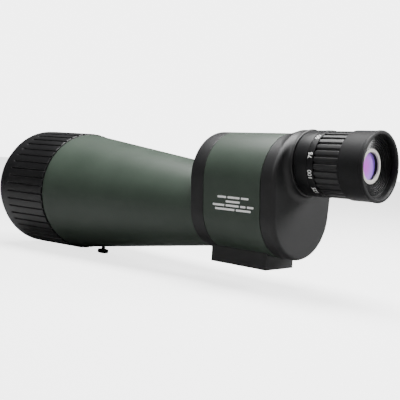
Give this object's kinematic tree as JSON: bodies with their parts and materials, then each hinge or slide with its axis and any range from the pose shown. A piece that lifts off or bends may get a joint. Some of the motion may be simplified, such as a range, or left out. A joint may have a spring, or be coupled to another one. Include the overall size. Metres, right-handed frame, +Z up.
{
  "type": "spotting scope",
  "caption": "Straight zoom spotting scope with ribbed focus ring, sliding sunshade, prism housing, zoom eyepiece and tripod foot.",
  "frame": {"origin": "centre of the tripod foot's bottom face, at the mouth of the tripod thread", "axes": "+Y along the optical axis toward the target, +X to the user's right, +Z up"},
  "size_m": [0.112, 0.3893, 0.1188],
  "materials": {
    "green_armour": "satin moulded rubber, dark grey-green",
    "green_barrel": "satin grey-green coating",
    "black_armour": "smooth satin black rubber",
    "grip_rubber": "ribbed satin black rubber",
    "eyecup_rubber": "soft matt black rubber",
    "seal_rubber": "smooth black rubber",
    "black_plastic": "satin black",
    "black_anodised": "satin black anodised",
    "inner_black": "matt black anodised",
    "shade_paint": "satin dark grey paint",
    "cast_alloy": "cast, dark coated",
    "screw_steel": "plated",
    "spring_steel": "sprung strip",
    "bushing_brass": "machined",
    "light_ring": "pale matt anodised",
    "prism_glass": "polished",
    "lens_glass": "polished",
    "coated_front_glass": "polished, coated",
    "coated_eye_glass": "polished, violet coated"
  },
  "bodies": {
    "scope_body": {"prism_housing": "cast_alloy", "housing_armour": "green_armour", "front_trim": "black_armour", "rear_cover": "cast_alloy", "rear_cover_gasket": "seal_rubber", "rear_cover_screws": "screw_steel", "rear_armour": "black_armour", "tripod_foot": "black_armour", "tripod_bushing": "bushing_brass", "foot_screws": "screw_steel", "objective_barrel": "green_barrel", "barrel_seal": "seal_rubber", "front_baffle": "inner_black", "rear_baffle": "inner_black", "tether_stud": "black_plastic", "focus_ring_retainer": "black_anodised", "prism_plate": "cast_alloy", "prism_plate_screws": "screw_steel", "rear_prism": "prism_glass", "front_prism": "prism_glass", "rear_prism_clip": "spring_steel", "front_prism_clip": "spring_steel", "prism_clip_screws": "screw_steel", "eyepiece_barrel": "black_anodised", "eyepiece_seal": "seal_rubber", "eyepiece_collar": "black_anodised", "field_lens": "lens_glass", "eye_lens_housing": "inner_black", "eye_lens": "coated_eye_glass", "eye_lens_ring": "light_ring", "eyecup": "eyecup_rubber"},
    "focus_group": {"focus_ring": "black_anodised", "focus_grip": "grip_rubber"},
    "objective_group": {"objective_cell": "inner_black", "focus_drive_pins": "screw_steel", "crown_lens": "coated_front_glass", "flint_lens": "lens_glass", "lens_spacer": "inner_black", "objective_retaining_ring": "inner_black", "objective_seal": "seal_rubber"},
    "sunshade_group": {"sunshade": "shade_paint"},
    "zoom_group": {"zoom_ring": "black_anodised", "zoom_grip": "grip_rubber", "cam_tube": "inner_black", "zoom_drive_pin": "screw_steel"},
    "variator_group": {"variator_cell": "inner_black", "variator_lens": "lens_glass", "variator_pin": "screw_steel"},
    "compensator_group": {"compensator_cell": "inner_black", "compensator_lens": "lens_glass", "compensator_pin": "screw_steel"}
  },
  "joints": [
    {"name": "focus_turn", "type": "hinge", "parent": "scope_body", "child": "focus_group", "pos_m": [0, 0.24, 0.0412], "axis": [0, 1, 0], "range_deg": [0, 270]},
    {"name": "objective_slide", "type": "slide", "parent": "scope_body", "child": "objective_group", "axis": [0, 1, 0], "range_m": [0, 0.008]},
    {"name": "sunshade_slide", "type": "slide", "parent": "focus_group", "child": "sunshade_group", "axis": [0, 1, 0], "range_m": [0, 0.025]},
    {"name": "zoom_turn", "type": "hinge", "parent": "scope_body", "child": "zoom_group", "pos_m": [0, -0.07, 0.0792], "axis": [0, 1, 0], "range_deg": [0, 140]},
    {"name": "variator_slide", "type": "slide", "parent": "scope_body", "child": "variator_group", "axis": [0, 1, 0], "range_m": [-0.005, 0]},
    {"name": "compensator_slide", "type": "slide", "parent": "scope_body", "child": "compensator_group", "axis": [0, 1, 0], "range_m": [0, 0.004]}
  ],
  "couplings": [
    {"joint": "objective_slide", "follows": "focus_turn", "m_per_rad": 0.0016976},
    {"joint": "variator_slide", "follows": "zoom_turn", "m_per_rad": -0.0020462},
    {"joint": "compensator_slide", "follows": "zoom_turn", "m_per_rad": 0.001637}
  ]
}
